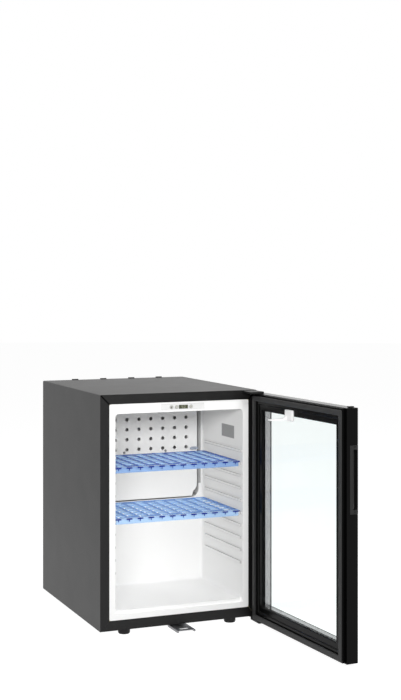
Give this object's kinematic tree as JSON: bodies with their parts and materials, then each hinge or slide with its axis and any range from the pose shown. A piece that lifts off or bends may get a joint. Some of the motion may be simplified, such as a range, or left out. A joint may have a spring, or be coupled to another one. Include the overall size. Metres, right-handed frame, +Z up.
{
  "type": "minibar fridge",
  "caption": "Compact absorption minibar fridge with a glazed hinged door, lattice shelves on ribbed side walls, a perforated cooling cover and an open cooling unit at the back.",
  "frame": {"origin": "middle of the cabinet's underside, on the lower face of the panel pressed into the base pan; the feet reach 12 mm below it", "axes": "+Z up; -Y is the front, towards which the door opens; +X is the side of the hinges"},
  "size_m": [0.441, 0.8848, 0.5644],
  "materials": {
    "black_paint": "satin",
    "black_plastic": "satin",
    "galvanised_sheet": "satin",
    "rigid_foam": "matte",
    "white_plastic": "satin",
    "bare_aluminium": "satin",
    "zinc_screw": "satin",
    "clear_plastic": "gloss",
    "dark_display": "gloss",
    "circuit_board": "matte",
    "unit_shell": "satin",
    "unit_paint": "satin",
    "black_rubber": "matte",
    "foot_rubber": "matte",
    "clear_glass": "gloss",
    "blue_plastic": "gloss"
  },
  "bodies": {
    "cabinet": {"wrapper": "black_paint", "front_band_bottom": "black_paint", "upper_hinge_bracket": "black_paint", "lower_hinge_bracket": "black_paint", "base_pan": "galvanised_sheet", "back_wall": "galvanised_sheet", "vessel_cradle": "galvanised_sheet", "boiler_bracket": "galvanised_sheet", "rear_cross_bar": "galvanised_sheet", "lock_plate": "galvanised_sheet", "insulation": "rigid_foam", "liner": "white_plastic", "evaporator_cover": "white_plastic", "control_housing": "white_plastic", "sensor_clip": "white_plastic", "cooling_plate": "bare_aluminium", "evaporator_tube": "bare_aluminium", "cover_screw_left": "zinc_screw", "cover_screw_right": "zinc_screw", "lock_screw_left": "zinc_screw", "lock_screw_right": "zinc_screw", "hinge_screw_front": "zinc_screw", "hinge_screw_rear": "zinc_screw", "control_lens": "clear_plastic", "lamp_cover": "clear_plastic", "display_window": "dark_display", "control_board": "circuit_board", "boiler_jacket": "unit_shell", "absorber_vessel": "unit_shell", "condenser_tube": "unit_paint", "condenser_fins": "unit_paint", "gas_pipe": "unit_paint", "absorber_coil": "unit_paint", "solution_pipe": "unit_paint", "junction_box": "black_plastic", "mains_gland": "black_plastic", "rear_vent_strip": "black_plastic", "foot_rear_left": "foot_rubber", "foot_rear_right": "foot_rubber"},
    "door": {"door_frame": "black_plastic", "door_inner_frame": "black_plastic", "door_gasket": "black_rubber", "inner_glass": "clear_glass", "outer_glass": "clear_glass", "glass_spacer": "bare_aluminium", "grip_insert": "black_plastic", "grip_screw_lower": "zinc_screw", "grip_screw_upper": "zinc_screw", "lamp_switch_arm": "white_plastic", "upper_hinge_bush": "white_plastic", "lower_hinge_bush": "white_plastic", "door_top_plug": "black_plastic"},
    "upper_shelf": {"upper_shelf": "blue_plastic"},
    "lower_shelf": {"lower_shelf": "blue_plastic"},
    "foot_front_left": {"foot_front_left": "foot_rubber"},
    "foot_front_right": {"foot_front_right": "foot_rubber"},
    "button_set": {"button_set": "white_plastic"},
    "button_down": {"button_down": "white_plastic"},
    "button_up": {"button_up": "white_plastic"}
  },
  "joints": [
    {"name": "door_swing", "type": "hinge", "parent": "cabinet", "child": "door", "pos_m": [0.1975, -0.2501, 0.269], "axis": [0, 0, 1], "range_deg": [-92.7, 30]},
    {"name": "upper_shelf_slide", "type": "slide", "parent": "cabinet", "child": "upper_shelf", "axis": [0, -1, 0], "range_m": [0, 0.1]},
    {"name": "lower_shelf_slide", "type": "slide", "parent": "cabinet", "child": "lower_shelf", "axis": [0, -1, 0], "range_m": [0, 0.1]},
    {"name": "front_left_foot_screw", "type": "slide", "parent": "cabinet", "child": "foot_front_left", "axis": [0, 0, -1], "range_m": [0, 0.006]},
    {"name": "front_right_foot_screw", "type": "slide", "parent": "cabinet", "child": "foot_front_right", "axis": [0, 0, -1], "range_m": [0, 0.006]},
    {"name": "button_set_press", "type": "slide", "parent": "cabinet", "child": "button_set", "axis": [0, 1, 0], "range_m": [0, 0.0008], "stiffness_N_per_m": 400},
    {"name": "button_down_press", "type": "slide", "parent": "cabinet", "child": "button_down", "axis": [0, 1, 0], "range_m": [0, 0.0008], "stiffness_N_per_m": 400},
    {"name": "button_up_press", "type": "slide", "parent": "cabinet", "child": "button_up", "axis": [0, 1, 0], "range_m": [0, 0.0008], "stiffness_N_per_m": 400}
  ]
}
